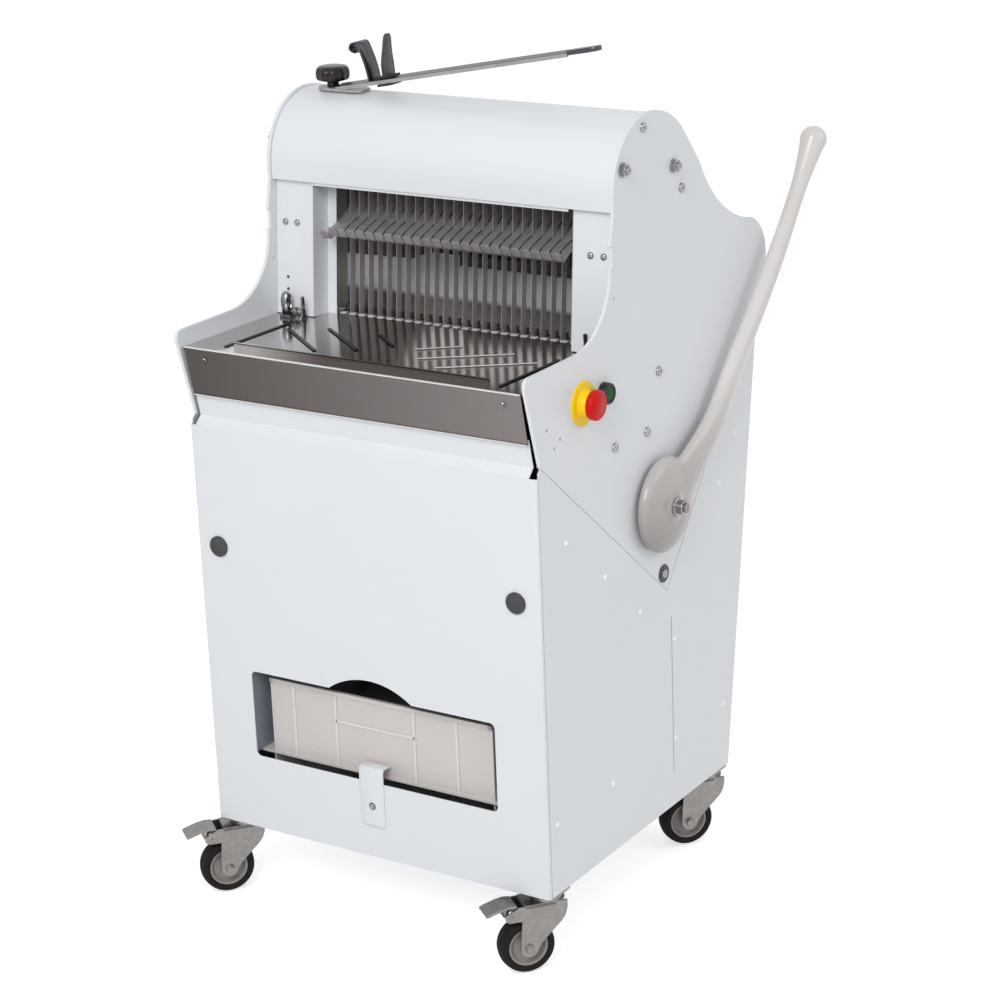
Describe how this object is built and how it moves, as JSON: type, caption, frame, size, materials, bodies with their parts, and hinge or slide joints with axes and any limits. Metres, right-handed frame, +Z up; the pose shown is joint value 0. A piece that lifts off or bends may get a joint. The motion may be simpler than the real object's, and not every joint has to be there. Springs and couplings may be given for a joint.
{
  "type": "bread slicer",
  "caption": "Floor-standing bread slicer on castors: a hand lever pushes the loaf through crank-driven reciprocating blade frames onto a polished table.",
  "frame": {"origin": "on the floor, under the middle of the cabinet's base", "axes": "+X to the right seen from the table side, +Y from the table to the hopper, +Z up"},
  "size_m": [0.6646, 0.8026, 1.2254],
  "materials": {
    "white_steel": "satin white powder coat",
    "stainless": "brushed stainless",
    "mirror_steel": "polished stainless",
    "zinc_steel": "zinc plated",
    "lever_grey": "satin light grey paint",
    "black_plastic": "gloss",
    "dark_cap": "matte",
    "red_plastic": "gloss",
    "yellow_plastic": "gloss",
    "green_plastic": "gloss",
    "tray_plastic": "matte light grey",
    "hub_grey": "matte grey",
    "tyre_rubber": "dark grey rubber",
    "belt_rubber": "matte black",
    "motor_grey": "grey painted casting"
  },
  "bodies": {
    "cabinet": {"base_pan": "white_steel", "castor_mounts": "zinc_steel", "crossmembers": "zinc_steel", "drive_belt": "belt_rubber", "drive_support": "zinc_steel", "front_panel": "white_steel", "guide_rods": "mirror_steel", "hood": "white_steel", "infeed_bed": "white_steel", "left_front_post": "white_steel", "left_side_panel": "white_steel", "left_side_plate": "white_steel", "motor": "motor_grey", "outfeed_table": "mirror_steel", "panel_caps": "dark_cap", "panel_rivets": "white_steel", "plate_bolts": "zinc_steel", "rear_panel": "white_steel", "right_front_post": "white_steel", "right_side_panel": "white_steel", "right_side_plate": "white_steel", "start_bezel": "black_plastic", "stop_collar": "yellow_plastic", "table_apron": "stainless", "table_latches": "mirror_steel", "tie_rods": "zinc_steel", "tray_clip": "white_steel", "tray_shelf": "tray_plastic"},
    "front_frame": {"front_blade_frame": "zinc_steel", "front_blades": "stainless"},
    "rear_frame": {"rear_blade_frame": "zinc_steel", "rear_blades": "stainless"},
    "front_rod": {"front_conrod": "zinc_steel"},
    "rear_rod": {"rear_conrod": "zinc_steel"},
    "crank": {"crankshaft": "zinc_steel"},
    "motor_wheel": {"motor_pulley": "zinc_steel"},
    "lever": {"hand_lever": "lever_grey", "lever_shaft": "zinc_steel"},
    "pusher": {"pusher_comb": "stainless"},
    "fingers": {"hold_down_fingers": "stainless"},
    "bag_bar": {"bag_arm": "stainless"},
    "bag_prong": {"sliding_prong": "stainless"},
    "bag_knob": {"clamp_knob": "black_plastic"},
    "stop_button": {"stop_mushroom": "red_plastic"},
    "green_button": {"start_button": "green_plastic"},
    "tray": {"crumb_tray": "tray_plastic"},
    "front_left_swivel_body": {"front_left_fork": "zinc_steel"},
    "front_left_wheel_body": {"front_left_wheel": "hub_grey", "front_left_tyre": "tyre_rubber"},
    "front_left_pedal_body": {"front_left_pedal": "zinc_steel"},
    "front_right_swivel_body": {"front_right_fork": "zinc_steel"},
    "front_right_wheel_body": {"front_right_wheel": "hub_grey", "front_right_tyre": "tyre_rubber"},
    "front_right_pedal_body": {"front_right_pedal": "zinc_steel"},
    "rear_left_swivel_body": {"rear_left_fork": "zinc_steel"},
    "rear_left_wheel_body": {"rear_left_wheel": "hub_grey", "rear_left_tyre": "tyre_rubber"},
    "rear_right_swivel_body": {"rear_right_fork": "zinc_steel"},
    "rear_right_wheel_body": {"rear_right_wheel": "hub_grey", "rear_right_tyre": "tyre_rubber"}
  },
  "joints": [
    {"name": "front_frame_slide", "type": "slide", "parent": "cabinet", "child": "front_frame", "axis": [0, 0.0872, 0.9962], "range_m": [-0.015, 0.015]},
    {"name": "rear_frame_slide", "type": "slide", "parent": "cabinet", "child": "rear_frame", "axis": [0, 0.0872, 0.9962], "range_m": [-0.015, 0.015]},
    {"name": "front_rod_swing", "type": "hinge", "parent": "front_frame", "child": "front_rod", "pos_m": [-0.106, -0.02065, 0.73539], "axis": [1, 0, 0], "range_deg": [0, 8.3]},
    {"name": "rear_rod_swing", "type": "hinge", "parent": "rear_frame", "child": "rear_rod", "pos_m": [0.106, 0.02119, 0.73173], "axis": [1, 0, 0], "range_deg": [-8.3, 0]},
    {"name": "crank_spin", "type": "hinge", "parent": "cabinet", "child": "crank", "pos_m": [0, -0.01786, 0.52635], "axis": [1, 0, 0], "continuous": true},
    {"name": "motor_spin", "type": "hinge", "parent": "cabinet", "child": "motor_wheel", "pos_m": [0, 0.13, 0.44], "axis": [1, 0, 0], "continuous": true},
    {"name": "lever_turn", "type": "hinge", "parent": "cabinet", "child": "lever", "pos_m": [0.2825, 0.058, 0.588], "axis": [1, 0, 0], "range_deg": [0, 60]},
    {"name": "pusher_slide", "type": "slide", "parent": "cabinet", "child": "pusher", "axis": [0, -1, 0], "range_m": [0, 0.225]},
    {"name": "finger_swing", "type": "hinge", "parent": "cabinet", "child": "fingers", "pos_m": [0, 0.06664, 0.99878], "axis": [1, 0, 0], "range_deg": [-25, 0]},
    {"name": "bag_bar_turn", "type": "hinge", "parent": "cabinet", "child": "bag_bar", "pos_m": [-0.227, 0.05, 1.135], "axis": [0, 0, 1], "range_deg": [-60, 90]},
    {"name": "bag_prong_slide", "type": "slide", "parent": "bag_bar", "child": "bag_prong", "axis": [0.9836, 0, 0.1805], "range_m": [0, 0.28]},
    {"name": "bag_knob_turn", "type": "hinge", "parent": "cabinet", "child": "bag_knob", "pos_m": [-0.227, 0.05, 1.14], "axis": [0, 0, 1], "continuous": true},
    {"name": "stop_push", "type": "slide", "parent": "cabinet", "child": "stop_button", "axis": [-1, 0, 0], "range_m": [0, 0.004]},
    {"name": "start_push", "type": "slide", "parent": "cabinet", "child": "green_button", "axis": [-1, 0, 0], "range_m": [0, 0.002], "stiffness_N_per_m": 1200},
    {"name": "tray_pull", "type": "slide", "parent": "cabinet", "child": "tray", "axis": [0, -1, 0], "range_m": [0, 0.3]},
    {"name": "front_left_swivel", "type": "hinge", "parent": "cabinet", "child": "front_left_swivel_body", "pos_m": [-0.258, -0.2265, 0.1], "axis": [0, 0, 1], "continuous": true},
    {"name": "front_left_roll", "type": "hinge", "parent": "front_left_swivel_body", "child": "front_left_wheel_body", "pos_m": [-0.27814, -0.25137, 0.04], "axis": [0.7771, -0.6293, 0], "continuous": true},
    {"name": "front_left_brake", "type": "hinge", "parent": "front_left_swivel_body", "child": "front_left_pedal_body", "pos_m": [-0.28947, -0.26536, 0.0975], "axis": [0.7771, -0.6293, 0], "range_deg": [0, 15]},
    {"name": "front_right_swivel", "type": "hinge", "parent": "cabinet", "child": "front_right_swivel_body", "pos_m": [0.258, -0.2265, 0.1], "axis": [0, 0, 1], "continuous": true},
    {"name": "front_right_roll", "type": "hinge", "parent": "front_right_swivel_body", "child": "front_right_wheel_body", "pos_m": [0.23786, -0.25137, 0.04], "axis": [0.7771, -0.6293, 0], "continuous": true},
    {"name": "front_right_brake", "type": "hinge", "parent": "front_right_swivel_body", "child": "front_right_pedal_body", "pos_m": [0.22653, -0.26536, 0.0975], "axis": [0.7771, -0.6293, 0], "range_deg": [0, 15]},
    {"name": "rear_left_swivel", "type": "hinge", "parent": "cabinet", "child": "rear_left_swivel_body", "pos_m": [-0.258, 0.2265, 0.1], "axis": [0, 0, 1], "continuous": true},
    {"name": "rear_left_roll", "type": "hinge", "parent": "rear_left_swivel_body", "child": "rear_left_wheel_body", "pos_m": [-0.27814, 0.20163, 0.04], "axis": [0.7771, -0.6293, 0], "continuous": true},
    {"name": "rear_right_swivel", "type": "hinge", "parent": "cabinet", "child": "rear_right_swivel_body", "pos_m": [0.258, 0.2265, 0.1], "axis": [0, 0, 1], "continuous": true},
    {"name": "rear_right_roll", "type": "hinge", "parent": "rear_right_swivel_body", "child": "rear_right_wheel_body", "pos_m": [0.23786, 0.20163, 0.04], "axis": [0.7771, -0.6293, 0], "continuous": true}
  ],
  "couplings": [
    {"joint": "rear_frame_slide", "follows": "front_frame_slide", "ratio": -1},
    {"joint": "motor_spin", "follows": "crank_spin", "ratio": 2},
    {"joint": "pusher_slide", "follows": "lever_turn", "m_per_rad": 0.21486}
  ]
}
